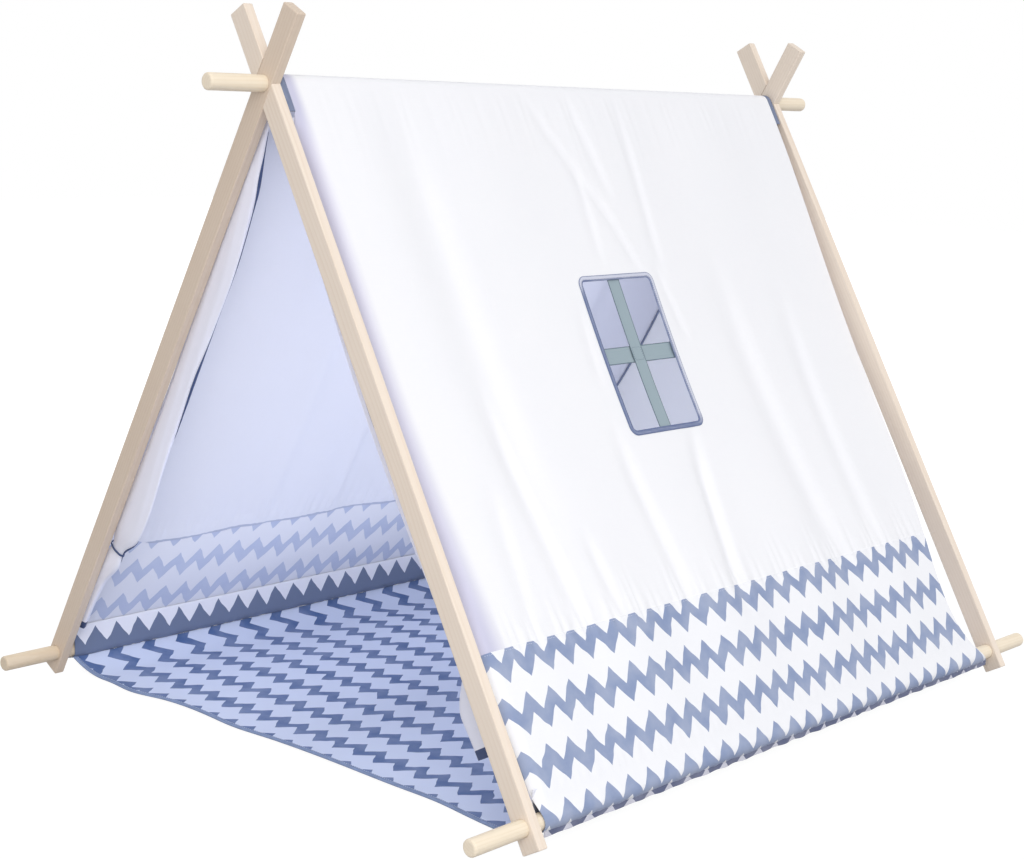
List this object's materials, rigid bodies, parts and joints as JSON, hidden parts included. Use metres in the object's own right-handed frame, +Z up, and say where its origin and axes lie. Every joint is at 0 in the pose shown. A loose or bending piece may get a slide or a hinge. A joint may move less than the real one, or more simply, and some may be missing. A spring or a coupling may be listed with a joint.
{
  "type": "play tent",
  "caption": "Child's A-frame play tent: lapped wooden leg pairs, round ridge and base poles, and a canvas body with printed bands, floor mat, window and tied-back door curtains.",
  "frame": {"origin": "on the ground under the middle of the ridge, at the centre of the bounding box's bottom face", "axes": "+Z up; +Y along the ridge, from the door to the back; +X towards the slope with the window, which is on the right seen from the door"},
  "size_m": [1.0068, 1.274, 0.9771],
  "materials": {
    "pine_leg": "planed pale pine, satin",
    "pine_pole": "sanded pale pine dowel, satin",
    "white_canvas": "plain woven white cotton canvas",
    "printed_canvas": "white cotton canvas printed with blue zigzag rows",
    "blue_tape": "folded blue cotton binding",
    "sage_ribbon": "grey-green ribbon"
  },
  "bodies": {
    "tent": {"front_left_leg": "pine_leg", "front_right_leg": "pine_leg", "back_left_leg": "pine_leg", "back_right_leg": "pine_leg", "left_roof_panel": "white_canvas", "right_roof_panel": "white_canvas", "left_base_band": "printed_canvas", "right_base_band": "printed_canvas", "floor_mat": "printed_canvas", "mat_front_tape": "blue_tape", "back_wall": "white_canvas", "front_ridge_tape": "blue_tape", "back_ridge_tape": "blue_tape", "left_door_curtain": "white_canvas", "right_door_curtain": "white_canvas", "left_curtain_tape": "blue_tape", "right_curtain_tape": "blue_tape", "left_curtain_tie": "blue_tape", "right_curtain_tie": "blue_tape", "window_tape": "blue_tape", "window_upright_ribbon": "sage_ribbon", "window_level_ribbon": "sage_ribbon"},
    "ridge_pole": {"ridge_pole": "pine_pole"},
    "left_base_pole": {"left_base_pole": "pine_pole"},
    "right_base_pole": {"right_base_pole": "pine_pole"}
  },
  "joints": [
    {"name": "ridge_pole_slide", "type": "slide", "parent": "tent", "child": "ridge_pole", "axis": [0, 1, 0], "range_m": [-0.08, 0.08]},
    {"name": "left_base_pole_slide", "type": "slide", "parent": "tent", "child": "left_base_pole", "axis": [0, 1, 0], "range_m": [-0.08, 0.08]},
    {"name": "right_base_pole_slide", "type": "slide", "parent": "tent", "child": "right_base_pole", "axis": [0, 1, 0], "range_m": [-0.08, 0.08]}
  ]
}
